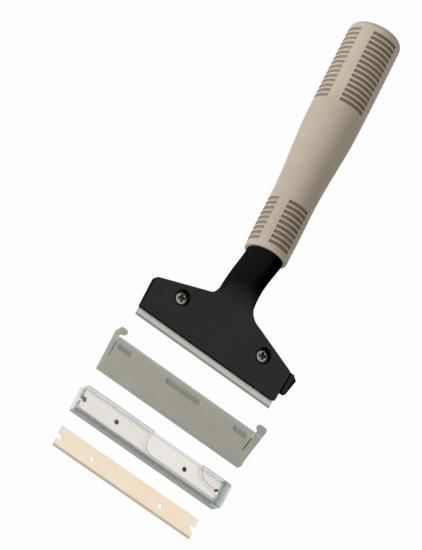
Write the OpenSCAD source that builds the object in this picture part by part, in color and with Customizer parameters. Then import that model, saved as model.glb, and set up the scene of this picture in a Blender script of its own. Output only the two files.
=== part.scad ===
// Razor blade scraper with its guard, a case of spare blades and one loose blade.
// X runs along the cutting edge, Y from the edge to the butt, Z up from the table.

/* [Blades] */
// Length of every blade
blade_len = 101.6; // [90:0.1:120]
// Width of every blade
blade_w = 13.2; // [12.5:0.1:15]
// Thickness of every blade
blade_t = 0.5; // [0.35:0.05:0.7]
// Width of the ground bevel along the cutting edge
bevel_w = 1.3; // [0.6:0.1:2.5]
// Thickness left at the cutting edge
edge_t = 0.1; // [0.05:0.01:0.2]
// Diameter of the two blade holes
blade_hole_d = 3; // [2:0.1:4]
// Distance between the two blade holes
blade_hole_pitch = 50.8; // [40:0.1:65]
// Width of the notch in each short end
notch_w = 3.2; // [2:0.1:4]
// Depth of the notch
notch_depth = 3; // [2:0.1:5]

/* [Head] */
// Reach of the head past each end of the blade
head_over = 0.4; // [0:0.1:2]
// Length of blade that stands out of the head
blade_out = 5.1; // [3:0.1:6]
// Height of the straight ends of the head
head_end_h = 20; // [16:0.5:26]
// Slope of the shoulders towards the neck, in degrees
shoulder_deg = 19; // [10:1:30]
// Thickness of the lip above the blade
lip_t = 1.7; // [1.2:0.1:3]
// Slope of the front face, in degrees
front_deg = 8; // [4:0.5:10]
// Radius between the shoulders and the neck
shoulder_r = 10; // [6:0.5:14]
// Length of the web that runs up the neck, from the shoulder corners
web_len = 24; // [20:1:28]
// Rounding of the upper corners
top_corner_r = 1.6; // [0.5:0.1:4]
// Rounding of the lower corners
low_corner_r = 0.9; // [0.3:0.1:2]

/* [Neck] */
// Radius of the neck where it meets the grip
neck_r = 11.5; // [10:0.1:12.5]
// Half width of the neck where it leaves the head
neck_root_r = 13.1; // [12:0.1:15]
// Narrowing of the neck's sides at its middle
neck_waist = 0.6; // [0:0.1:1.5]
// Depth of the neck's collar inside the grip
collar_len = 3; // [1:0.5:6]
// Radius of the tang inside the grip
tang_r = 7.5; // [5:0.5:9]
// Length of the tang
tang_len = 112; // [60:1:140]

/* [Clamp] */
// Thickness of the clamp plate
clamp_t = 1.7; // [1.2:0.1:2.5]
// Gap from the plate's low edge to the head's low edge
clamp_back = 0.6; // [0:0.1:2]
// Reach of the plate's end tab past the head
tab_reach = 6.8; // [3:0.1:8]
// Height of the tab's outer step above the plate
tab_rise = 2; // [1:0.1:2.5]
// Drop from the head's face to the top of the tab's inner step
tab_drop = 0.6; // [0.3:0.1:1.5]
// Width of the tab's outer step
tab_step_w = 2.3; // [0.8:0.1:2.5]
// Length of the tab along the head's end
tab_len = 12.5; // [8:0.5:18]
// Distance from each end of the blade to the nearest clamp screw
screw_in = 19.85; // [14:0.05:26]
// Distance from the cutting edge to the clamp screws
screw_y = 23.6; // [21:0.1:25]
// Diameter of the screw shanks
screw_d = 4; // [3:0.1:5]
// Diameter of the screw heads
screw_head_d = 7.6; // [6.5:0.1:8]
// Height of the screw heads
screw_head_h = 2.1; // [1.5:0.1:3]
// Diameter of the recess round each screw head
recess_d = 10.2; // [9:0.1:12]
// Thickness of the head under the screw heads
seat_t = 1.5; // [1:0.1:2.5]
// Width across the flats of the nuts
nut_flats = 7; // [6:0.1:8]
// Thickness of the nuts
nut_t = 2.3; // [2.1:0.1:2.6]

/* [Grip] */
// Length of the grip
grip_len = 163.5; // [130:0.5:190]
// Radius of the grip at the neck
grip_neck_r = 13.6; // [13:0.1:16]
// Radius of the grip at the butt
grip_butt_r = 16.7; // [15:0.1:20]
// Length of the narrow part before the taper
narrow_len = 38; // [34:1:48]
// Length of the taper
taper_len = 62; // [45:1:66]
// Rounding of the butt end
butt_round_r = 4; // [2:0.5:6]
// Height of the dome on the butt end
dome_h = 1.2; // [0.5:0.1:3]
// Rounding of the grip's mouth
mouth_round_r = 1.3; // [0.5:0.1:2]
// Distance from one groove to the next
groove_pitch = 3.5; // [2.5:0.05:4]
// Width of a groove
groove_w = 2.2; // [0.8:0.1:2.3]
// Depth of a groove
groove_depth = 0.6; // [0.3:0.1:1.2]
// Largest number of grooves near the butt
butt_grooves = 15; // [5:1:16]
// Largest number of grooves near the neck
neck_grooves = 9; // [3:1:10]
// Distance from the grip's mouth to the first groove near the neck
neck_groove_start = 4.8; // [4:0.1:8]
// Distance from the butt end to the last groove
butt_groove_end = 8.6; // [7:0.1:12]
// Angle that each groove covers round the grip, in degrees
groove_deg = 62; // [40:1:80]
// Swell of the grip's two grooved parts
swell_h = 0.15; // [0.05:0.05:0.4]

/* [Guard] */
// Wall of the blade guard
guard_wall = 1; // [0.8:0.1:1.2]
// Height of the guard's front wall
guard_front_h = 21; // [19:0.1:24]
// Height of the guard's back wall
guard_back_h = 20.6; // [14:0.1:21]
// Clear depth between the walls at the closed side
guard_depth = 4.9; // [4.6:0.1:7]
// Play between the guard and each end of the head
guard_play = 0.4; // [0.3:0.1:1.5]
// Extra room at the right end of the guard's back wall
guard_room = 1.6; // [1.4:0.1:2.5]
// Outward lean of the guard's left wall, from the table up
guard_lean = 1.4; // [0:0.1:2]
// Reach of the two end arms past the front wall
arm_len = 5.8; // [3:0.1:8]
// Width of the right arm
arm_w = 4.6; // [3:0.1:6]
// Outward slant of the right arm, over the front wall's height
arm_out = 2.9; // [1:0.1:4]
// Inward reach of the left arm's hook
left_hook = 4; // [2:0.1:5]
// Inward reach of the right arm's hook
right_hook = 2.2; // [0.5:0.1:3]
// Height of the hook at the end of each arm
hook_h = 3.5; // [1.5:0.1:4]
// Width of the long middle dimple
long_dimple_w = 27; // [15:1:32]
// Width of each end dimple
end_dimple_w = 12; // [6:0.5:16]
// Height of the dimples
dimple_h = 4.2; // [2:0.1:5]
// Depth of the dimples
dimple_depth = 0.6; // [0.2:0.05:0.8]
// Distance from the end dimples to the middle one
dimple_pitch = 43.5; // [35:0.5:48]
// Distance from the front wall's rim to the dimples
dimple_drop = 2.6; // [2.4:0.1:5]
// Shift of the dimples to the left
dimple_shift = 1.1; // [0:0.1:2]
// Length of the slits that free the two arms
slit_len = 13; // [8:0.5:18]
// Width of the slits
slit_w = 0.7; // [0.5:0.1:1.5]
// Gap between the guard and the cutting edge, as it lies on the table
guard_off = 14.1; // [13:0.1:25]
// Shift of the guard to the left, as it lies on the table
guard_shift = 2.8; // [0:0.1:3]
// Gap that is left before the cutting edge when the guard is on
edge_gap = 0.5; // [0.3:0.1:1.5]

/* [Spare blade case] */
// Length of the case past the left end of the blades
case_left_end = 1.6; // [1.2:0.1:4]
// Length of the case past the right end of the blades
case_right_end = 5; // [2:0.1:8]
// Width of the case past each long edge of the blades
case_side = 1.6; // [1.2:0.1:3]
// Floor of the tray
case_floor = 1.2; // [0.8:0.1:2]
// Thickness of the cover
cover_t = 1; // [0.6:0.1:2]
// Clear space above the stack of blades
stack_room = 1; // [0.6:0.1:2]
// Rounding of the case's corners
case_corner_r = 1.5; // [0.5:0.1:2]
// Width of the cover's strip beside the thumb window
window_strip = 1.5; // [1.2:0.1:4]
// Radius of the thumb window's inner corner
window_r = 6; // [4:0.5:9]
// Length of the window, from its round end to the end of the blades
window_len = 54.5; // [40:0.5:70]
// Length of the corner flap at the window's right end
flap_len = 17; // [15:0.5:25]
// Length of the flap's curved edge
flap_curve_len = 10.5; // [5:0.5:15]
// Width of the flap across the case
flap_w = 8.2; // [4:0.1:10]
// Distance of the blades in the case from the cutting edge
case_y = 63; // [60:0.1:80]
// Shift of the blades in the case to the left
case_shift = 6.1; // [0:0.1:12]

/* [Loose blade] */
// Distance of the loose blade from the cutting edge
loose_y = 87.9; // [84:0.1:110]
// Shift of the loose blade to the left
loose_shift = 6.7; // [0:0.1:12]

/* [Hidden] */

// Colours
black_plastic = [0.13, 0.13, 0.14];
tan_plastic = [0.76, 0.72, 0.66];
grey_plastic = [0.62, 0.61, 0.56];
clear_plastic = [0.72, 0.86, 0.82, 0.45];
steel = [0.78, 0.78, 0.76];
spare_steel = [0.9, 0.88, 0.84];
oiled_steel = [0.96, 0.9, 0.8];

// Clearances and the overrun of cuts
fit_gap = 0.05;
screw_gap = 0.15;
tang_gap = 0.3;
slide_gap = 0.9;
stack_gap = 0.03;
pocket_gap = 0.3;
over = 1;
round_fn = 64;
grip_fn = 96;

// Heights above the table, from the guard's back wall up
clamp_z = guard_wall + slide_gap;
blade_z = clamp_z + clamp_t + fit_gap;
head_z = blade_z;
pocket_z = blade_z + blade_t + fit_gap;
front_z = pocket_z + lip_t;
seat_z = head_z + seat_t;
axis_z = grip_butt_r;

// Places along the blade and along Y
head_w = blade_len + 2 * head_over;
screw_pitch = blade_len - 2 * screw_in;
head_top_y = blade_out + head_end_h;
web_top_y = head_top_y + web_len;
web_back_share = 0.45;
web_back_y = head_top_y + web_back_share * web_len;
pocket_y = blade_w + pocket_gap;
grip_y = head_top_y + web_len + neck_r * 2;
butt_y = grip_y + grip_len;

function front_at(y) = front_z + (y - blade_out) * tan(front_deg);

// Points of an arc about c, in the plane
function arc(c, r, from, to, steps) =
    [for (i = [0:steps]) let (a = from + (to - from) * i / steps) c + r * [cos(a), sin(a)]];

// A side profile, drawn as [y, z] points, run along X from x0 to x1
module along_x(x0, x1, points) {
    translate([x0, 0, 0])
        rotate([90, 0, 90])
            linear_extrude(x1 - x0) polygon(points);
}

// An outline drawn as [x, y] points, run up from z0 to z1
module up_z(z0, z1, points) {
    translate([0, 0, z0]) linear_extrude(z1 - z0) polygon(points);
}

// A front view, drawn as [x, z] points, run along Y from y0 to y1
module along_y(y0, y1, points) {
    translate([0, y1, 0]) rotate([90, 0, 0]) linear_extrude(y1 - y0) polygon(points);
}

// Both halves of an outline whose right half is given from its lowest point up
function both_sides(half) = concat(half, [for (i = [len(half) - 1:-1:0]) [-half[i][0], half[i][1]]]);

// Ends of the guard, and where it lies
guard_left_x = -head_w / 2 - guard_play - guard_wall;
guard_front_x = head_w / 2 + guard_play + guard_wall;
guard_back_x = guard_front_x + guard_room;
arm_top = guard_front_h + arm_len;
guard_y = -guard_off - arm_top;
guard_seat_y = -edge_gap - guard_wall;
guard_travel = guard_seat_y - guard_y;
function guard_in(y) = guard_wall + guard_depth + (y - guard_wall) * tan(front_deg);
function guard_out(y) = guard_in(y) + guard_wall / cos(front_deg);
guard_top_z = guard_out(arm_top);
function arm_x(y) = guard_front_x + arm_out * y / guard_front_h;

// Height of the case, with its stack of blades
spares = 10;
function spare_z(i) = case_floor + (i - 1) * (blade_t + stack_gap) + stack_gap;
stack_top = spare_z(spares) + blade_t;
case_top = stack_top + stack_room + cover_t;

// Puts the middle of the whole set's footprint at the origin
left_x = min(guard_left_x - guard_lean - guard_shift, -case_shift - blade_len / 2 - case_left_end,
    -loose_shift - blade_len / 2);
right_x = max(max(guard_back_x, arm_x(arm_top)) - guard_shift, head_w / 2 + tab_reach);
mid_x = (left_x + right_x) / 2;
mid_y = (butt_y - loose_y - blade_w / 2) / 2;
module placed() {
    translate([-mid_x, -mid_y, 0]) children();
}

// One blade, flat, with its cutting edge on Y = 0 and its middle on X = 0
module blade() {
    difference() {
        along_x(-blade_len / 2, blade_len / 2,
            [[0, 0], [blade_w, 0], [blade_w, blade_t], [bevel_w, blade_t], [0, edge_t]]);
        for (side = [-1, 1]) {
            translate([side * blade_hole_pitch / 2, blade_w / 2, -over])
                cylinder(d = blade_hole_d, h = blade_t + 2 * over, $fn = round_fn);
            translate([side * (blade_len / 2 - notch_depth + notch_w / 2), blade_w / 2, -over])
                cylinder(d = notch_w, h = blade_t + 2 * over, $fn = round_fn);
            translate([side * (blade_len / 2 + notch_w / 2), blade_w / 2, blade_t / 2])
                cube([2 * notch_depth, notch_w, blade_t + 2 * over], center = true);
        }
    }
}

// Outline of the head: straight ends, sloping shoulders and a fillet up to the neck
web_tuck = 1.1;
function shoulder_y(x) = head_top_y + (head_w / 2 - x) * tan(shoulder_deg);
fillet_x = neck_root_r - web_tuck + shoulder_r;
fillet_y = shoulder_y(fillet_x) + shoulder_r / cos(shoulder_deg);
function end_corner(inset) =
    arc([head_w / 2 - inset - top_corner_r,
         head_top_y - inset - top_corner_r * tan((90 - shoulder_deg) / 2)],
        top_corner_r, 0, 90 - shoulder_deg, 6);
function low_corner(y, inset) =
    arc([head_w / 2 - inset - low_corner_r, y + low_corner_r], low_corner_r, -90, 0, 4);
function head_half() = concat(
    low_corner(blade_out, 0),
    end_corner(0),
    arc([fillet_x, fillet_y], shoulder_r, 270 - shoulder_deg, 180, 12),
    [[neck_half_w(web_top_y) * web_tip_share, web_top_y]]);

// The neck, from its flat root in the head to its round end at the grip
neck_steps = 16;
neck_sides = 40;
root_square_share = 0.7;
web_edge_share = 0.12;
web_tip_share = 0.75;
root_t_share = 0.46;
collar_step = 0.4;
collar_r = neck_r - collar_step;
root_t = front_at(web_back_y) - head_z;
root_z = head_z + root_t / 2;
lift_power = 2.2;
swell_power = 1.7;
function ease(t) = t * t * (3 - 2 * t);
function mix(a, b, t) = a + (b - a) * t;
function along_neck(y) = min(1, max(0, (y - web_back_y) / (grip_y - web_back_y)));
function swell_at(y) = ease(pow(along_neck(y), swell_power));
function neck_z(y) = mix(root_z, axis_z, ease(pow(along_neck(y), lift_power)));
function neck_half_w(y) =
    mix(neck_root_r, neck_r, ease(along_neck(y))) - neck_waist * sin(180 * along_neck(y));
function neck_half_t(y) = mix(root_t * root_t_share, neck_r, swell_at(y));
function bent(v, power) = sign(v) * pow(abs(v), power);
function neck_ring(y) =
    let (power = mix(root_square_share, 1, swell_at(y)))
    [for (k = [0:neck_sides - 1])
        let (a = 360 * k / neck_sides)
        [neck_half_w(y) * bent(cos(a), power), y, neck_z(y) + neck_half_t(y) * bent(sin(a), power)]];

module loft(rings) {
    n = len(rings[0]);
    last = (len(rings) - 1) * n;
    sides = [for (i = [0:len(rings) - 2], k = [0:n - 1], half = [0, 1])
        let (a = i * n + k, b = i * n + (k + 1) % n)
        half == 0 ? [a, b, b + n] : [a, b + n, a + n]];
    ends = [[for (k = [n - 1:-1:0]) k], [for (k = [0:n - 1]) last + k]];
    polyhedron([for (ring = rings) for (point = ring) point], concat(sides, ends), 4);
}

module neck() {
    loft([for (i = [0:neck_steps]) neck_ring(mix(web_back_y, grip_y - fit_gap, i / neck_steps))]);
    translate([0, grip_y - over / 2, axis_z])
        rotate([-90, 0, 0]) cylinder(r = tang_r, h = over / 2 + collar_len + tang_len, $fn = grip_fn);
    translate([0, grip_y - over, axis_z])
        rotate([-90, 0, 0]) cylinder(r = collar_r, h = over + collar_len, $fn = grip_fn);
}

module at_screw(side, z) {
    translate([side * screw_pitch / 2, screw_y, z]) children();
}

module head() {
    web_edge_z = neck_z(web_top_y);
    web_edge_t = web_edge_share * neck_half_t(web_top_y);
    color(black_plastic) placed() {
        difference() {
            union() {
                intersection() {
                    up_z(0, front_at(web_top_y) + over, both_sides(head_half()));
                    along_x(-head_w, head_w, [
                        [blade_out - over, head_z], [web_back_y, head_z],
                        [web_top_y + over, web_edge_z - web_edge_t],
                        [web_top_y + over, web_edge_z + web_edge_t],
                        [web_back_y, front_at(web_back_y)],
                        [blade_out - over, front_at(blade_out - over)]]);
                }
                neck();
            }
            // Pocket for the blade, open at both ends and at the edge
            along_x(-head_w, head_w, [
                [blade_out - over, head_z - over], [pocket_y, head_z - over],
                [pocket_y, pocket_z], [blade_out - over, pocket_z]]);
            for (side = [-1, 1]) {
                at_screw(side, -over)
                    cylinder(d = screw_d + 2 * screw_gap, h = seat_z + 2 * over, $fn = round_fn);
                at_screw(side, seat_z) cylinder(d = recess_d, h = front_z, $fn = round_fn);
            }
        }
        for (side = [-1, 1])
            translate([side * blade_hole_pitch / 2, blade_w / 2, blade_z])
                cylinder(r = blade_hole_d / 2 - screw_gap, h = pocket_z - blade_z + lip_t / 2, $fn = round_fn);
    }
}

// Half outline of the grip, as [radius, distance from the mouth]
grip_bore_r = tang_r + tang_gap;
grip_bore_end = collar_len + tang_len + fit_gap;
taper_steps = 14;
dome_steps = 5;
dome_edge_r = grip_butt_r - butt_round_r;
function rows_in(room, most) = max(1, min(most, floor((room - groove_w) / groove_pitch) + 1));
neck_rows = rows_in(narrow_len - neck_groove_start, neck_grooves);
butt_rows = rows_in(grip_len - butt_groove_end - narrow_len - taper_len, butt_grooves);
butt_groove_start = grip_len - butt_groove_end - (butt_rows - 1) * groove_pitch;
function swell(y, y0, y1) = swell_h * sin(180 * min(1, max(0, (y - y0) / (y1 - y0))));
function grip_at(y) =
    mix(grip_neck_r, grip_butt_r, ease(min(1, max(0, (y - narrow_len) / taper_len))))
        + swell(y, mouth_round_r, narrow_len)
        + swell(y, narrow_len + taper_len, grip_len - dome_h - butt_round_r);
function grip_outline() = concat(
    [[0, grip_bore_end], [grip_bore_r, grip_bore_end], [grip_bore_r, collar_len + fit_gap],
     [collar_r + screw_gap, collar_len + fit_gap], [collar_r + screw_gap, 0]],
    arc([grip_neck_r - mouth_round_r, mouth_round_r], mouth_round_r, -90, 0, 6),
    [for (i = [0:neck_rows - 1]) let (y = neck_groove_start + i * groove_pitch) [grip_at(y), y]],
    [for (i = [0:taper_steps]) let (y = narrow_len + taper_len * i / taper_steps) [grip_at(y), y]],
    [for (i = [0:butt_rows - 1]) let (y = butt_groove_start + i * groove_pitch) [grip_at(y), y]],
    arc([dome_edge_r, grip_len - dome_h - butt_round_r], butt_round_r, 0, 90, 8),
    [for (i = [1:dome_steps])
        let (share = i / dome_steps)
        [dome_edge_r * (1 - share), grip_len - dome_h * (1 - share) * (1 - share)]]);

// Grooves of one patch, joined outside the grip's surface, from the first one up
function comb(start, count) = concat(
    [[grip_butt_r + over, start - groove_w]],
    [for (i = [0:count - 1], corner = [[over / 2, -1], [-groove_depth, -1], [-groove_depth, 1], [over / 2, 1]])
        let (y = start + i * groove_pitch)
        [grip_at(y) + corner[0], y + corner[1] * groove_w / 2]],
    [[grip_butt_r + over, start + (count - 1) * groove_pitch + groove_w]]);

module groove_patch(start, count) {
    for (quarter = [0:3])
        rotate([0, 0, quarter * 90 - groove_deg / 2])
            rotate_extrude(angle = groove_deg, $fn = grip_fn) polygon(comb(start, count));
}

module grip() {
    color(tan_plastic) placed()
        translate([0, grip_y, axis_z]) rotate([-90, 0, 0])
            difference() {
                rotate_extrude($fn = grip_fn) polygon(grip_outline());
                groove_patch(neck_groove_start, neck_rows);
                groove_patch(butt_groove_start, butt_rows);
            }
}

// The clamp plate's outline follows the head's, a little inside it
plate_inset = 0.6;
plate_top_y = web_back_y - plate_inset;
function plate_half() = concat(
    low_corner(blade_out + clamp_back, plate_inset),
    end_corner(plate_inset),
    [[head_w / 2 - (plate_top_y + plate_inset - head_top_y) / tan(shoulder_deg), plate_top_y]]);

// The end tab widens upwards in two steps, up to the head's upper corner
tab_low_share = 0.2;
tab_mid_share = 0.65;
tab_low_y = head_top_y - tab_len;
function tab_outline(reach, y0) = [
    [head_w / 2 - plate_inset - over, y0],
    [head_w / 2 + tab_mid_share * reach, y0],
    [head_w / 2 + reach, head_top_y - top_corner_r],
    [head_w / 2 + reach - top_corner_r, head_top_y],
    [head_w / 2 - plate_inset - over, head_top_y]];

module clamp_plate() {
    color(black_plastic) placed() difference() {
        union() {
            up_z(clamp_z, clamp_z + clamp_t, both_sides(plate_half()));
            up_z(clamp_z, clamp_z + clamp_t, tab_outline(tab_reach, tab_low_y));
            up_z(clamp_z, clamp_z + clamp_t, [
                [head_w / 2 - plate_inset - over, blade_out + clamp_back + low_corner_r],
                [head_w / 2, blade_out + clamp_back + low_corner_r],
                [head_w / 2 + tab_low_share * tab_reach, tab_low_y],
                [head_w / 2 - plate_inset - over, tab_low_y + over]]);
            intersection() {
                union() {
                    up_z(clamp_z, clamp_z + clamp_t + tab_rise, tab_outline(tab_reach, tab_low_y));
                    up_z(clamp_z, 2 * front_at(head_top_y), tab_outline(tab_reach - tab_step_w, tab_low_y));
                }
                along_x(head_w / 2 + pocket_gap, head_w, [
                    [tab_low_y, clamp_z], [head_top_y, clamp_z],
                    [head_top_y, front_at(head_top_y) - tab_drop], [tab_low_y, front_at(tab_low_y) - tab_drop]]);
            }
        }
        for (side = [-1, 1]) {
            at_screw(side, 0) cylinder(d = screw_d + 2 * screw_gap, h = clamp_z + 2 * clamp_t, $fn = round_fn);
            at_screw(side, clamp_z - over)
                cylinder(d = (nut_flats + 2 * fit_gap) / cos(30), h = nut_t + over - clamp_z + fit_gap, $fn = 6);
            translate([side * blade_hole_pitch / 2, blade_w / 2, 0])
                cylinder(d = blade_hole_d, h = clamp_z + 2 * clamp_t, $fn = round_fn);
        }
    }
}

// A pan-head screw with a cross recess; it stands on its thread's end
drive_w_share = 0.26;
drive_len_share = 0.62;
drive_depth_share = 0.6;
pan_edge_share = 0.55;
screw_end_z = 0.4;
module screw(side) {
    top = seat_z + screw_head_h;
    edge_z = seat_z + screw_head_h * pan_edge_share;
    color(steel) placed() at_screw(side, 0) difference() {
        rotate_extrude($fn = round_fn) polygon(concat(
            [[0, screw_end_z], [screw_d / 2, screw_end_z], [screw_d / 2, seat_z + fit_gap],
             [screw_head_d / 2, seat_z + fit_gap]],
            [for (i = [0:6])
                let (a = 15 * i)
                [screw_head_d / 2 * (1 - pan_edge_share + pan_edge_share * cos(a)),
                 edge_z + (top - edge_z) * sin(a)]],
            [[0, top]]));
        for (a = [0, 90])
            rotate([0, 0, a + 20])
                translate([0, 0, top])
                    cube([screw_head_d * drive_len_share, screw_head_d * drive_w_share,
                          2 * screw_head_h * drive_depth_share], center = true);
    }
}

module nut(side) {
    color(steel) placed() at_screw(side, 0) difference() {
        cylinder(d = nut_flats / cos(30), h = nut_t, $fn = 6);
        translate([0, 0, -over]) cylinder(r = screw_d / 2 + fit_gap, h = nut_t + 2 * over, $fn = round_fn);
    }
}

module fitted_blade() {
    color(steel) placed() translate([0, 0, blade_z]) blade();
}

// The guard is a channel whose front wall slopes like the head's face
rim_w = 2;
rim_rise = 0.4;
guard_round_r = 0.9;
arm_round_r = 1.8;
function guard_profile() = concat(
    arc([guard_round_r, guard_round_r], guard_round_r, 180, 270, 4),
    [[guard_back_h, 0], [guard_back_h, guard_wall], [guard_wall, guard_wall],
     [guard_wall, guard_wall + guard_depth], [guard_front_h, guard_in(guard_front_h)],
     [guard_front_h, guard_out(guard_front_h) + rim_rise],
     [guard_front_h - rim_w, guard_out(guard_front_h - rim_w) + rim_rise],
     [guard_front_h - rim_w - rim_rise, guard_out(guard_front_h - rim_w - rim_rise)]],
    arc([guard_round_r, guard_out(0) - guard_round_r], guard_round_r, 90, 180, 4));

// Outer face of the guard's left wall, at a height
function guard_lean_x(z) = guard_left_x - guard_lean * z / guard_top_z;

// Side view of an end wall, as high as y1 in front and y0 at the table
function guard_side(y0, y1) = concat(
    arc([guard_round_r, guard_round_r], guard_round_r, 180, 270, 4),
    [[y0, 0], [y1, guard_depth], [y1, guard_out(y1)]],
    arc([guard_round_r, guard_out(0) - guard_round_r], guard_round_r, 90, 180, 4));

// The part of an outline that lies in the sloping front wall
module in_front_wall(points) {
    intersection() {
        up_z(0, 2 * guard_top_z, points);
        along_x(2 * guard_left_x, 2 * guard_back_x, [
            [-over, guard_in(-over)], [arm_top + over, guard_in(arm_top + over)],
            [arm_top + over, guard_out(arm_top + over)], [-over, guard_out(-over)]]);
    }
}

module left_arm() {
    x = guard_lean_x(guard_top_z);
    intersection() {
        along_x(2 * guard_left_x, 0, guard_side(arm_top, arm_top));
        along_y(0, arm_top, [
            [guard_left_x, 0], [guard_left_x + guard_wall, 0],
            [x + guard_wall, guard_top_z], [x, guard_top_z]]);
    }
    in_front_wall(concat(
        arc([x + guard_wall + left_hook - hook_h / 2, arm_top - hook_h / 2], hook_h / 2, -90, 90, 8),
        [[x + guard_wall / 2, arm_top], [x + guard_wall / 2, arm_top - 2 * hook_h],
         [x + 2 * guard_wall, arm_top - hook_h]]));
}

module right_arm() {
    wall_top = tab_low_y - guard_seat_y - over;
    intersection() {
        along_x(0, 2 * guard_back_x, guard_side(wall_top, wall_top));
        along_y(0, arm_top, [
            [guard_back_x - guard_wall, 0], [guard_back_x, 0],
            [guard_front_x, guard_top_z], [guard_front_x - guard_wall, guard_top_z]]);
    }
    in_front_wall(concat(
        [[arm_x(0) - arm_w, 0], [arm_x(0), 0]],
        arc([arm_x(arm_top) - arm_round_r, arm_top - arm_round_r], arm_round_r, 0, 90, 6),
        arc([arm_x(arm_top) - arm_w - right_hook + hook_h / 2, arm_top - hook_h / 2], hook_h / 2, 90, 270, 8),
        [[arm_x(arm_top - hook_h) - arm_w, arm_top - hook_h]]));
}

// A dimple is scooped out by a round bar with round ends
module dimple(x, w) {
    y = guard_front_h - dimple_drop - dimple_h / 2;
    scoop_r = (dimple_h * dimple_h / 4 + dimple_depth * dimple_depth) / (2 * dimple_depth);
    translate([x - dimple_shift, y, guard_out(y)]) rotate([front_deg, 0, 0])
        translate([0, 0, scoop_r - dimple_depth]) {
            rotate([0, 90, 0]) cylinder(r = scoop_r, h = w - dimple_h, center = true, $fn = round_fn);
            for (side = [-1, 1])
                translate([side * (w - dimple_h) / 2, 0, 0]) sphere(r = scoop_r, $fn = round_fn);
        }
}

module guard_body() {
    slit_y = guard_front_h - slit_len;
    left_slit_x = guard_lean_x(guard_top_z) + guard_wall;
    difference() {
        union() {
            difference() {
                intersection() {
                    along_x(2 * guard_left_x, 2 * guard_back_x, guard_profile());
                    along_y(-over, arm_top, [
                        [guard_left_x, 0], [guard_back_x, 0],
                        [guard_front_x, guard_top_z], [guard_left_x - guard_lean, guard_top_z]]);
                }
                up_z(guard_wall + guard_depth, 2 * guard_top_z, [
                    [left_slit_x - 2 * guard_wall, slit_y], [left_slit_x + slit_w, slit_y],
                    [left_slit_x + slit_w, arm_top], [left_slit_x - 2 * guard_wall, arm_top]]);
                up_z(guard_wall + guard_depth, 2 * guard_top_z, [
                    [arm_x(slit_y) - arm_w - slit_w, slit_y], [guard_back_x, slit_y],
                    [guard_back_x, arm_top], [arm_x(arm_top) - arm_w - slit_w, arm_top]]);
            }
            left_arm();
            right_arm();
        }
        dimple(0, long_dimple_w);
        for (side = [-1, 1]) dimple(side * dimple_pitch, end_dimple_w);
    }
}

module blade_guard() {
    color(grey_plastic) placed() translate([-guard_shift, guard_y, 0]) guard_body();
}

// The case of spare blades, about the middle of its stack
post_gap = 0.3;
skirt_t = 0.8;
skirt_h = 0.7;
case_x0 = -blade_len / 2 - case_left_end;
case_x1 = blade_len / 2 + case_right_end;
case_w = blade_w + 2 * case_side;
inner_x = blade_len / 2 + pocket_gap;
inner_y = blade_w / 2 + pocket_gap;
module in_case() {
    translate([-case_shift, -case_y, 0]) children();
}

module case_outline() {
    offset(r = case_corner_r, $fn = 32) offset(delta = -case_corner_r)
        translate([case_x0, -case_w / 2]) square([case_x1 - case_x0, case_w]);
}

// A post in the blades' end notches, drawn for the right end
module case_post(top) {
    post_w = notch_w - 2 * post_gap;
    round_x = blade_len / 2 - notch_depth + notch_w / 2;
    translate([round_x, -post_w / 2, case_floor / 2])
        cube([inner_x - round_x + case_left_end / 2, post_w, top - case_floor / 2]);
    translate([round_x, 0, case_floor / 2]) cylinder(d = post_w, h = top - case_floor / 2, $fn = round_fn);
}

module case_tray() {
    wall_top = case_top - cover_t - fit_gap;
    slot_z = spare_z(spares) - stack_gap;
    color(clear_plastic) placed() in_case() difference() {
        union() {
            difference() {
                linear_extrude(wall_top) case_outline();
                translate([-inner_x, -inner_y, case_floor]) cube([2 * inner_x, 2 * inner_y, case_top]);
            }
            case_post(slot_z);
            mirror([1, 0, 0]) case_post(stack_top);
        }
        // The way out for the top blade, over the low end wall
        translate([inner_x - over, -inner_y, slot_z]) cube([case_right_end + 2 * over, 2 * inner_y, case_top]);
    }
}

// The cover's thumb window is open on the far side, with a curved flap at its right end
module case_cover() {
    x0 = blade_len / 2 - window_len;
    x1 = blade_len / 2 + pocket_gap;
    flap_x = x1 - flap_len;
    y0 = -inner_y + window_strip;
    y1 = case_w / 2;
    flap_edge = [for (i = [0:10])
        let (a = 270 - 9 * i)
        [flap_x + flap_curve_len * (1 + cos(a)), y1 + flap_w * sin(a)]];
    color(clear_plastic) placed() in_case() {
        difference() {
            translate([0, 0, case_top - cover_t]) linear_extrude(cover_t) case_outline();
            up_z(case_top - cover_t - over, case_top + over, concat(
                [[flap_x, y1 + over], [x0 + window_r / 4, y1 + over]],
                arc([x0 + window_r, y0 + window_r], window_r, 180, 270, 10),
                [[x1, y0], [x1, y1 - flap_w]], flap_edge));
        }
        for (part = [[-inner_x + skirt_t, x0 - skirt_t, 1], [flap_x + skirt_t, x1, 1], [-inner_x + skirt_t, x1, -1]])
            translate([part[0], part[2] * (inner_y - fit_gap - skirt_t / 2) - skirt_t / 2, case_top - cover_t - skirt_h])
                cube([part[1] - part[0], skirt_t, skirt_h + cover_t / 2]);
    }
}

module spare_blade(i) {
    color(spare_steel) placed() in_case() translate([0, -blade_w / 2, spare_z(i)]) blade();
}

module loose_blade() {
    color(oiled_steel) placed() translate([-loose_shift, -loose_y - blade_w / 2, 0]) blade();
}

head();
grip();
clamp_plate();
screw(-1);  // screw_left
screw(1);  // screw_right
nut(-1);  // nut_left
nut(1);  // nut_right
fitted_blade();
blade_guard();
case_tray();
case_cover();
spare_blade(1);  // spare_blade_01
spare_blade(2);  // spare_blade_02
spare_blade(3);  // spare_blade_03
spare_blade(4);  // spare_blade_04
spare_blade(5);  // spare_blade_05
spare_blade(6);  // spare_blade_06
spare_blade(7);  // spare_blade_07
spare_blade(8);  // spare_blade_08
spare_blade(9);  // spare_blade_09
spare_blade(10);  // spare_blade_10
loose_blade();
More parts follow.
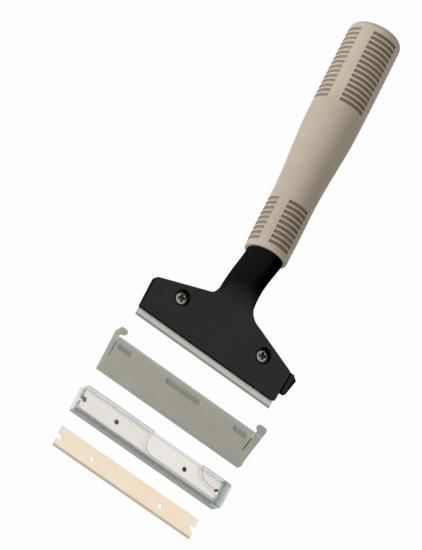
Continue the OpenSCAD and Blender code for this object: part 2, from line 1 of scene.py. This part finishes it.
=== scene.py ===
"""Looks for the razor blade scraper, its guard, the case of spare blades and the loose blade.
Everything is in metres, in the frame of the CAD model: X along the blade, Y towards the grip's butt, Z up."""
import math

import bpy
from mathutils import Matrix, Vector


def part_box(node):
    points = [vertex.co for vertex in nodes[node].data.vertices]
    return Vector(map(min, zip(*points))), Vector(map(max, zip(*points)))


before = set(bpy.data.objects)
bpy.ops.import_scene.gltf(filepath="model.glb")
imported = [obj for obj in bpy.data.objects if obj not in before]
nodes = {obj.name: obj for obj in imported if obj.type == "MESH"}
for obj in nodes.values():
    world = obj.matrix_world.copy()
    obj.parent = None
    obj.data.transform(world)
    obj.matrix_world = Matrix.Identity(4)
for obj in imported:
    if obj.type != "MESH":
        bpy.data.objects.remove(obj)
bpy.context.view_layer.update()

MM = 0.001
SPARES = ["spare_blade_%02d" % i for i in range(1, 11)]
UNLIT = (0.0, 0.0, 0.0)


# Shader nodes
def new_material(name, colour, roughness, metallic=0.0):
    material = bpy.data.materials.new(name)
    material.use_nodes = True
    shader = material.node_tree.nodes["Principled BSDF"]
    shader.inputs["Base Color"].default_value = (*colour, 1)
    shader.inputs["Roughness"].default_value = roughness
    shader.inputs["Metallic"].default_value = metallic
    return material, material.node_tree, shader


def linear(*levels):
    """A colour written as 0 to 255 in the picture, as Blender's linear values."""
    return tuple(c / 255 / 12.92 if c / 255 <= 0.04045 else ((c / 255 + 0.055) / 1.055) ** 2.4 for c in levels)


def place(tree):
    return tree.nodes.new("ShaderNodeTexCoord").outputs["Object"]


def split(tree, vector):
    """The x, y and z of a vector."""
    node = tree.nodes.new("ShaderNodeSeparateXYZ")
    tree.links.new(vector, node.inputs[0])
    return node.outputs


def direction(tree):
    """The way a surface faces, as x, y and z."""
    return split(tree, tree.nodes.new("ShaderNodeTexCoord").outputs["Normal"])


def stretched(tree, scale):
    mapping = tree.nodes.new("ShaderNodeMapping")
    mapping.inputs["Scale"].default_value = scale
    tree.links.new(place(tree), mapping.inputs["Vector"])
    return mapping.outputs["Vector"]


def noise(tree, vector, scale, detail, roughness=0.55):
    node = tree.nodes.new("ShaderNodeTexNoise")
    node.inputs["Scale"].default_value = scale
    node.inputs["Detail"].default_value = detail
    node.inputs["Roughness"].default_value = roughness
    tree.links.new(vector, node.inputs["Vector"])
    return node.outputs["Fac"]


def colour_ramp(tree, value, stops):
    node = tree.nodes.new("ShaderNodeValToRGB")
    elements = node.color_ramp.elements
    while len(elements) < len(stops):
        elements.new(0.5)
    for element, (position, colour) in zip(elements, stops):
        element.position = position
        element.color = (*colour, 1)
    tree.links.new(value, node.inputs["Fac"])
    return node.outputs["Color"]


def fade(tree, value, start, end, low=0.0, high=1.0, smooth=False):
    """Goes from low at start to high at end, and stays level outside them."""
    node = tree.nodes.new("ShaderNodeMapRange")
    if smooth:
        node.interpolation_type = "SMOOTHSTEP"
    for socket, level in (("From Min", start), ("From Max", end), ("To Min", low), ("To Max", high)):
        node.inputs[socket].default_value = level
    tree.links.new(value, node.inputs["Value"])
    return node.outputs["Result"]


def feed(tree, socket, value):
    """Gives a socket either a link or a constant."""
    if isinstance(value, bpy.types.NodeSocket):
        tree.links.new(value, socket)
    elif isinstance(value, tuple):
        socket.default_value = (*value, 1)
    else:
        socket.default_value = value


def maths(tree, operation, *values):
    node = tree.nodes.new("ShaderNodeMath")
    node.operation = operation
    for socket, value in zip(node.inputs, values):
        feed(tree, socket, value)
    return node.outputs[0]


def product(tree, first, *others):
    for value in others:
        first = maths(tree, "MULTIPLY", first, value)
    return first


def largest(tree, first, *others):
    for value in others:
        first = maths(tree, "MAXIMUM", first, value)
    return first


def minus(tree, a, b):
    return maths(tree, "SUBTRACT", a, b)


def under(tree, value, limit):
    return maths(tree, "LESS_THAN", value, limit)


def over(tree, value, limit):
    return maths(tree, "GREATER_THAN", value, limit)


def length(tree, a, b):
    """The length of a vector with the sides a and b."""
    return maths(tree, "SQRT", maths(tree, "ADD", maths(tree, "POWER", a, 2.0), maths(tree, "POWER", b, 2.0)))


def mixed(tree, factor, a, b, blend="MIX"):
    node = tree.nodes.new("ShaderNodeMix")
    node.data_type = "RGBA"
    node.blend_type = blend
    for socket, value in ((node.inputs["Factor"], factor), (node.inputs[6], a), (node.inputs[7], b)):
        feed(tree, socket, value)
    return node.outputs[2]


def bump(tree, shader, height, distance):
    node = tree.nodes.new("ShaderNodeBump")
    node.inputs["Distance"].default_value = distance
    node.inputs["Strength"].default_value = 1.0
    tree.links.new(height, node.inputs["Height"])
    tree.links.new(node.outputs["Normal"], shader.inputs["Normal"])


def facing_up(tree):
    """1 on flat tops, less on bevels, 0 on upright walls."""
    return maths(tree, "ABSOLUTE", direction(tree)[2])


def upright(tree):
    """1 on upright walls, 0 on flat tops and bevels."""
    return fade(tree, facing_up(tree), 0.4, 0.7, 1.0, 0.0)


def facing_back(tree, component):
    """How far a surface faces towards minus x (0) or minus y (1)."""
    return product(tree, direction(tree)[component], -1.0)


def moulded(name, dark, light, roughness, grain, grain_depth):
    """Moulded plastic: a cloudy tint, a fine spark-eroded grain and uneven sheen."""
    material, tree, shader = new_material(name, light, roughness)
    where = place(tree)
    colour = colour_ramp(tree, noise(tree, where, 60, 3), [(0.3, dark), (0.7, light)])
    tree.links.new(colour, shader.inputs["Base Color"])
    sheen = fade(tree, noise(tree, where, 180, 3), 0.3, 0.7, roughness - 0.06, roughness + 0.08)
    tree.links.new(sheen, shader.inputs["Roughness"])
    bump(tree, shader, noise(tree, where, grain, 2), grain_depth)
    return material


def brushed(name, dark, light, roughness, tint=None, bevel=None, side=None):
    """Rolled steel strip with grinding lines along the blade; tint is an oil film in soft patches.
    The ground bevel and the upright sides are painted darker than the flat top, as painted shade."""
    material, tree, shader = new_material(name, light, roughness, metallic=1.0)
    lines = noise(tree, stretched(tree, (30, 900, 500)), 1.0, 2, 0.5)
    colour = colour_ramp(tree, lines, [(0.25, dark), (0.75, light)])
    if tint:
        patch = noise(tree, stretched(tree, (60, 140, 60)), 1.0, 4)
        colour = mixed(tree, fade(tree, patch, 0.42, 0.6), colour, tint)
    # Painted shade on the bevel and the upright sides
    if bevel:
        colour = mixed(tree, fade(tree, facing_up(tree), 0.965, 0.985, 1.0, 0.0), colour, bevel)
    if side:
        colour = mixed(tree, upright(tree), colour, side)
    tree.links.new(colour, shader.inputs["Base Color"])
    tree.links.new(fade(tree, lines, 0.3, 0.7, roughness - 0.05, roughness + 0.08), shader.inputs["Roughness"])
    bump(tree, shader, lines, LINE_DEPTH)
    return material


FINE_GRAIN, COARSE_GRAIN, LINE_DEPTH = 0.02 * MM, 0.03 * MM, 0.003 * MM
black = moulded("black_plastic", linear(17, 17, 19), linear(23, 23, 25), 0.45, 2200, FINE_GRAIN)
tan = moulded("tan_plastic", linear(175, 163, 147), linear(181, 169, 153), 0.55, 1500, COARSE_GRAIN)
grey = moulded("guard_plastic", linear(165, 163, 150), linear(171, 169, 156), 0.5, 1800, FINE_GRAIN)
steel = brushed("blade_steel", linear(188, 184, 178), linear(194, 190, 184), 0.35,
                bevel=linear(142, 138, 131), side=linear(120, 116, 108))
spare = brushed("spare_steel", linear(230, 226, 217), linear(238, 234, 225), 0.4,
                bevel=linear(206, 200, 190), side=linear(172, 174, 166))
oiled = brushed("oiled_steel", linear(241, 226, 203), linear(244, 230, 210), 0.4,
                tint=linear(244, 224, 195), bevel=linear(228, 206, 180), side=linear(120, 104, 88))
zinc = brushed("zinc_steel", linear(138, 138, 128), linear(168, 168, 158), 0.35)


def opened(material):
    """A finished material's tree, shader and plain colour, and where a point lies."""
    tree = material.node_tree
    shader = tree.nodes["Principled BSDF"]
    return tree, shader, shader.inputs["Base Color"].links[0].from_socket, split(tree, place(tree))


grip_low, grip_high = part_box("grip")

# The head's flat front has a sheen and its plain colour, which fade into the neck before the grip's mouth. The neck
# and the sides are painted darker as painted shade, and faces turned right are painted near black. The end tab of
# the clamp plate is painted dark next to the head and at its outer edge, as painted shadow in the gap and painted
# shade at the edge
NECK_FROM, NECK_TO = 34 * MM, 14 * MM
GAP_START, GAP_FADE, GAP_END = -0.3 * MM, 0.9 * MM, 1.5 * MM
TAB_EDGE, TAB_EDGE_END = 2.9 * MM, 3.7 * MM
FRONT_SHEEN = 0.25
tree, shader, plain, (x, y, _) = opened(black)
before_mouth = fade(tree, y, grip_low.y - NECK_FROM, grip_low.y - NECK_TO, 1.0, 0.0)
flat_front = product(tree, before_mouth, fade(tree, facing_up(tree), 0.86, 0.985))
# Painted shade: faces turned right are painted near black
right_flank_shade = fade(tree, direction(tree)[0], 0.0, 0.2)
shaded_front_tone = mixed(tree, flat_front, mixed(tree, right_flank_shade, linear(19, 19, 18), linear(3, 3, 2)), plain)
past_end = minus(tree, x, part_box("head")[1].x)
# Painted shadow in the gap between the head and the tab, and painted shade at the tab's outer edge
gap_shadow = product(tree, fade(tree, past_end, GAP_START, 0.0), fade(tree, past_end, GAP_FADE, GAP_END, 1.0, 0.0))
tab_shade = largest(tree, gap_shadow, fade(tree, past_end, TAB_EDGE, TAB_EDGE_END, 0.0, 0.75))
tree.links.new(mixed(tree, tab_shade, shaded_front_tone, linear(3, 3, 3)), shader.inputs["Base Color"])
sheen = product(tree, flat_front, minus(tree, 1.0, tab_shade), FRONT_SHEEN)
tree.links.new(sheen, shader.inputs["Specular IOR Level"])

# Painted shade: the grip's grooves are painted darker than its surface, by how deep a point lies under it, less so
# on its lit left side
GRIP_R, BUTT_R = 13.6 * MM, 16.7 * MM
TAPER_START, TAPER_END = 38 * MM, 100 * MM
MOUTH_RING, BUTT_CAP = 2.5 * MM, 6 * MM
GROOVE_FROM, GROOVE_FULL = 0.09 * MM, 0.24 * MM
axis_x, axis_z = (grip_low.x + grip_high.x) / 2, (grip_low.z + grip_high.z) / 2
tree, shader, plain, (x, y, z) = opened(tan)
from_axis = minus(tree, x, axis_x)
radius = length(tree, from_axis, minus(tree, z, axis_z))
surface = fade(tree, y, grip_low.y + TAPER_START, grip_low.y + TAPER_END, GRIP_R, BUTT_R, smooth=True)
sideways = maths(tree, "DIVIDE", from_axis, radius)
groove_shade = product(tree, fade(tree, minus(tree, surface, radius), GROOVE_FROM, GROOVE_FULL),
                 under(tree, y, grip_high.y - BUTT_CAP), over(tree, y, grip_low.y + MOUTH_RING),
                 fade(tree, sideways, -0.9, -0.3, 0.7, 1.0))
colour = mixed(tree, groove_shade, plain, linear(109, 96, 79))
# Painted shade: a little darker along its middle, and a warmer tint on its shaded right side
levels = [(at, (level,) * 3) for at, level in ((0.0, 0.89), (0.12, 0.83), (0.35, 0.83), (0.6, 0.89), (0.75, 1.0))]
shade_along_grip = colour_ramp(tree, fade(tree, y, grip_low.y, grip_high.y), levels)
colour = mixed(tree, 1.0, colour, shade_along_grip, "MULTIPLY")
colour = mixed(tree, fade(tree, sideways, 0.2, 0.7), colour, (1.0, 0.99, 0.84), "MULTIPLY")
tree.links.new(colour, shader.inputs["Base Color"])

# Painted shade: the holes through the stack of spare blades are painted dark inside
HOLE_ZONE = 3 * MM
stack_low, stack_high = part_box(SPARES[-1])
tree, shader, plain, (_, y, _) = opened(spare)
off_line = maths(tree, "ABSOLUTE", minus(tree, y, (stack_low.y + stack_high.y) / 2))
bore_shade = product(tree, upright(tree), under(tree, off_line, HOLE_ZONE))
tree.links.new(mixed(tree, bore_shade, plain, linear(70, 68, 60)), shader.inputs["Base Color"])

# The loose blade has a dark cutting edge
EDGE_DARK, EDGE_END = 0.6 * MM, 2.1 * MM
loose_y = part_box("loose_blade")[0].y
tree, shader, plain, (_, y, _) = opened(oiled)
keen = fade(tree, y, loose_y + EDGE_DARK, loose_y + EDGE_END, 1.0, 0.0)
tree.links.new(mixed(tree, keen, plain, linear(186, 173, 158)), shader.inputs["Base Color"])

# Clear plastic: nearly unseen from above, dense and green where the near long wall stands on edge,
# grey over the rims and the solid right end, and dark along the cover's cut edges
RIM, END_BLOCK, COVER = 1.7 * MM, 4.7 * MM, 1.05 * MM
INNER_END = 0.5 * MM
WALL_DENSE, WALL_THIN = 3 * MM, 8 * MM
BAND_START, BAND_FULL, BAND_FADE, BAND_END = -0.3 * MM, 0.1 * MM, 1.1 * MM, 2.2 * MM
LEAST_SIDE_ALPHA, LEAST_TOP_ALPHA = 0.25, 0.03
tray_low, tray_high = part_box("case_tray")
cover_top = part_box("case_cover")[1].z
clear, tree, shader = new_material("clear_plastic", linear(222, 240, 234), 0.08)
x, y, z = split(tree, place(tree))
level = facing_up(tree)
near = under(tree, y, tray_low.y + RIM)
far = over(tree, y, tray_high.y - RIM)
into_block = minus(tree, x, tray_high.x - END_BLOCK)
right_end = over(tree, into_block, 0.0)
inner_end = under(tree, maths(tree, "ABSOLUTE", into_block), INNER_END)
cut_edge = product(tree, minus(tree, 1.0, near), over(tree, z, cover_top - COVER))
near_wall = product(tree, near, largest(tree, facing_back(tree, 1), 0.0))
left_wall = product(tree, under(tree, x, tray_low.x + RIM), largest(tree, facing_back(tree, 0), 0.0))
cloud = noise(tree, place(tree), 90, 2)
green = colour_ramp(tree, cloud, [(0.3, linear(108, 118, 109)), (0.7, linear(120, 130, 120))])
side = mixed(tree, near_wall, mixed(tree, cut_edge, linear(150, 166, 162), linear(104, 108, 100)), green)
side = mixed(tree, inner_end, side, linear(96, 124, 114))
thickness = fade(tree, z, WALL_DENSE, WALL_THIN, 0.92, 0.5)
side_alpha = largest(tree, product(tree, near_wall, thickness), product(tree, cut_edge, 0.8),
                     product(tree, left_wall, 0.6), product(tree, inner_end, 0.9),
                     product(tree, right_end, 0.45), LEAST_SIDE_ALPHA)
band = product(tree, fade(tree, into_block, BAND_START, BAND_FULL),
               fade(tree, into_block, BAND_FADE, BAND_END, 1.0, 0.0))
rim = largest(tree, product(tree, near, 0.2), product(tree, far, 0.1), product(tree, right_end, 0.2),
              product(tree, band, 0.45))
top = mixed(tree, product(tree, rim, 4.0), linear(232, 236, 230), linear(116, 138, 130))
top = mixed(tree, band, top, linear(96, 128, 117))
tree.links.new(mixed(tree, level, side, top), shader.inputs["Base Color"])
flatness = fade(tree, level, 0.2, 0.9)
alpha = maths(tree, "ADD", product(tree, flatness, largest(tree, rim, LEAST_TOP_ALPHA)),
              product(tree, minus(tree, 1.0, flatness), side_alpha))
tree.links.new(alpha, shader.inputs["Alpha"])
bump(tree, shader, cloud, COARSE_GRAIN)

# Painted shade: the guard's dimples are painted darker, by how deep a point lies under its sloping front wall. Its
# top rim is painted paler as a painted highlight, what faces left is painted darker as painted shade, and what lies
# under a hook as painted shadow
GUARD_WALL, GUARD_DEPTH, GUARD_SLOPE = 1.0 * MM, 4.9 * MM, math.tan(math.radians(8))
GUARD_FRONT = 21.0 * MM
DIMPLE_FROM, DIMPLE_TO = 13.2 * MM, 19.4 * MM
HOLLOW_FROM, HOLLOW_FULL = 0.02 * MM, 0.6 * MM
RIM_START, RIM_FULL, RIM_SLACK = 2.2 * MM, 0.4 * MM, 0.1 * MM
tree, shader, plain, (_, y, z) = opened(grey)
up_wall = minus(tree, y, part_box("blade_guard")[0].y)
wall_z = maths(tree, "ADD", product(tree, up_wall, GUARD_SLOPE),
               2 * GUARD_WALL + GUARD_DEPTH - GUARD_WALL * GUARD_SLOPE)
hollow_shade = product(tree, fade(tree, minus(tree, wall_z, z), HOLLOW_FROM, HOLLOW_FULL, 0.0, 0.6),
                 over(tree, up_wall, DIMPLE_FROM), under(tree, up_wall, DIMPLE_TO), over(tree, facing_up(tree), 0.6))
# Painted highlight: the top rim is painted paler
rim = product(tree, fade(tree, up_wall, GUARD_FRONT - RIM_START, GUARD_FRONT - RIM_FULL, 0.0, 0.9),
              under(tree, up_wall, GUARD_FRONT + RIM_SLACK))
left_face_shade = fade(tree, facing_back(tree, 0), 0.3, 0.9, 0.0, 0.48)
under_hook_shadow = product(tree, fade(tree, facing_back(tree, 1), 0.2, 0.7, 0.0, 0.75),
                     over(tree, up_wall, GUARD_FRONT - RIM_SLACK))
colour = mixed(tree, rim, mixed(tree, hollow_shade, plain, linear(118, 118, 104)), linear(184, 187, 181))
tree.links.new(mixed(tree, largest(tree, left_face_shade, under_hook_shadow), colour, UNLIT), shader.inputs["Base Color"])

# Painted shade: the cross recess of each screw is painted dark: what lies under the head's top, near its axis
RECESS_R, HEAD_TOP = 2.6 * MM, 0.08 * MM
left_low, left_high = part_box("screw_left")
right_low, right_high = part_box("screw_right")
middle = (left_low.x + right_high.x) / 2
half_pitch = ((right_low.x + right_high.x) - (left_low.x + left_high.x)) / 4
tree, shader, plain, (x, y, z) = opened(zinc)
aside = minus(tree, maths(tree, "ABSOLUTE", minus(tree, x, middle)), half_pitch)
along = minus(tree, y, (left_low.y + left_high.y) / 2)
recess_shade = product(tree, under(tree, length(tree, aside, along), RECESS_R), under(tree, z, left_high.z - HEAD_TOP))
tree.links.new(mixed(tree, recess_shade, plain, linear(52, 54, 45)), shader.inputs["Base Color"])

DRESS = {
    "head": black, "grip": tan, "clamp_plate": black, "screw_left": zinc, "screw_right": zinc,
    "nut_left": zinc, "nut_right": zinc, "fitted_blade": steel, "blade_guard": grey,
    "case_tray": clear, "case_cover": clear, "loose_blade": oiled,
}
DRESS.update({name: spare for name in SPARES})
for name, material in DRESS.items():
    mesh = nodes[name].data
    mesh.materials.clear()
    mesh.materials.append(material)
    for polygon in mesh.polygons:
        polygon.material_index = 0


# Floor and world: white to the camera, by a reflection and through clear plastic
def seen_directly(tree):
    path = tree.nodes.new("ShaderNodeLightPath").outputs
    return largest(tree, path["Is Camera Ray"], path["Is Glossy Ray"], path["Is Transmission Ray"])


FLOOR_HALF, FLOOR_Z = 3.0, -0.0002
FLOOR_GREY, FLOOR_WHITE = 0.9, 0.97
WORLD_LIGHT, WORLD_SEEN = 0.32, 1.0
floor_mesh = bpy.data.meshes.new("floor")
floor_mesh.from_pydata([(x * FLOOR_HALF, y * FLOOR_HALF, FLOOR_Z) for x, y in ((-1, -1), (1, -1), (1, 1), (-1, 1))],
                       [], [(0, 1, 2, 3)])
floor = bpy.data.objects.new("floor", floor_mesh)
bpy.context.scene.collection.objects.link(floor)
floor_material = bpy.data.materials.new("floor_white")
floor_material.use_nodes = True
tree = floor_material.node_tree
tree.nodes.clear()
diffuse = tree.nodes.new("ShaderNodeBsdfDiffuse")
diffuse.inputs["Color"].default_value = (FLOOR_GREY, FLOOR_GREY, FLOOR_GREY, 1)
white = tree.nodes.new("ShaderNodeEmission")
blend = tree.nodes.new("ShaderNodeMixShader")
tree.links.new(product(tree, seen_directly(tree), FLOOR_WHITE), blend.inputs["Fac"])
tree.links.new(diffuse.outputs[0], blend.inputs[1])
tree.links.new(white.outputs[0], blend.inputs[2])
tree.links.new(blend.outputs[0], tree.nodes.new("ShaderNodeOutputMaterial").inputs["Surface"])
floor_mesh.materials.append(floor_material)

world = bpy.data.worlds.new("studio")
bpy.context.scene.world = world
world.use_nodes = True
tree = world.node_tree
tree.nodes.clear()
background = tree.nodes.new("ShaderNodeBackground")
background.inputs["Color"].default_value = (1, 1, 1, 1)
tree.links.new(fade(tree, seen_directly(tree), 0.0, 1.0, WORLD_LIGHT, WORLD_SEEN), background.inputs["Strength"])
tree.links.new(background.outputs[0], tree.nodes.new("ShaderNodeOutputWorld").inputs["Surface"])

# Camera: its direction, roll, scale and centre were fitted to the photograph's outlines
IMAGE_W, IMAGE_H = 422, 550
SENSOR_H = 24.0
AZIMUTH, ELEVATION, ROLL = -0.72386, 1.02152, -1.86898
DISTANCE = 2.5
PX_PER_M = 1702.15
TARGET_PX = (246.328, 276.58)
NEAREST, FARTHEST = 0.1, 20
target = Vector((0.25 * MM, -10.55 * MM, 5 * MM))
flat_reach = math.cos(ELEVATION)
out = Vector((flat_reach * math.sin(AZIMUTH), -flat_reach * math.cos(AZIMUTH), math.sin(ELEVATION)))
level_side = (-out).cross(Vector((0, 0, 1))).normalized()
steep = level_side.cross(-out)
right = -(math.cos(ROLL) * level_side + math.sin(ROLL) * steep)
up = math.sin(ROLL) * level_side - math.cos(ROLL) * steep
camera_data = bpy.data.cameras.new("camera")
camera_data.sensor_fit = "VERTICAL"
camera_data.sensor_height = SENSOR_H
camera_data.lens = PX_PER_M * DISTANCE / IMAGE_H * SENSOR_H
camera_data.clip_start, camera_data.clip_end = NEAREST, FARTHEST
camera_data.shift_x = -(TARGET_PX[0] - IMAGE_W / 2) / IMAGE_H
camera_data.shift_y = (TARGET_PX[1] - IMAGE_H / 2) / IMAGE_H
camera = bpy.data.objects.new("camera", camera_data)
bpy.context.scene.collection.objects.link(camera)
turn = Matrix((right, up, out)).transposed().to_4x4()
camera.matrix_world = Matrix.Translation(target + out * DISTANCE) @ turn
bpy.context.scene.camera = camera


# Lamps, placed about the view: right, up and towards the camera
def lamp(name, across, above, towards, size, watts):
    data = bpy.data.lights.new(name, "AREA")
    data.shape = "DISK"
    data.size = size
    data.energy = watts
    light = bpy.data.objects.new(name, data)
    bpy.context.scene.collection.objects.link(light)
    light.visible_glossy = False
    spot = target + right * across + up * above + out * towards
    light.matrix_world = Matrix.Translation(spot) @ (spot - target).to_track_quat("Z", "Y").to_matrix().to_4x4()


lamp("key", -1.1, 0.5, 0.9, 0.6, 20.2)
lamp("fill", 0.2, -0.2, 1.6, 1.2, 8)

bpy.context.scene.view_settings.view_transform = "Standard"
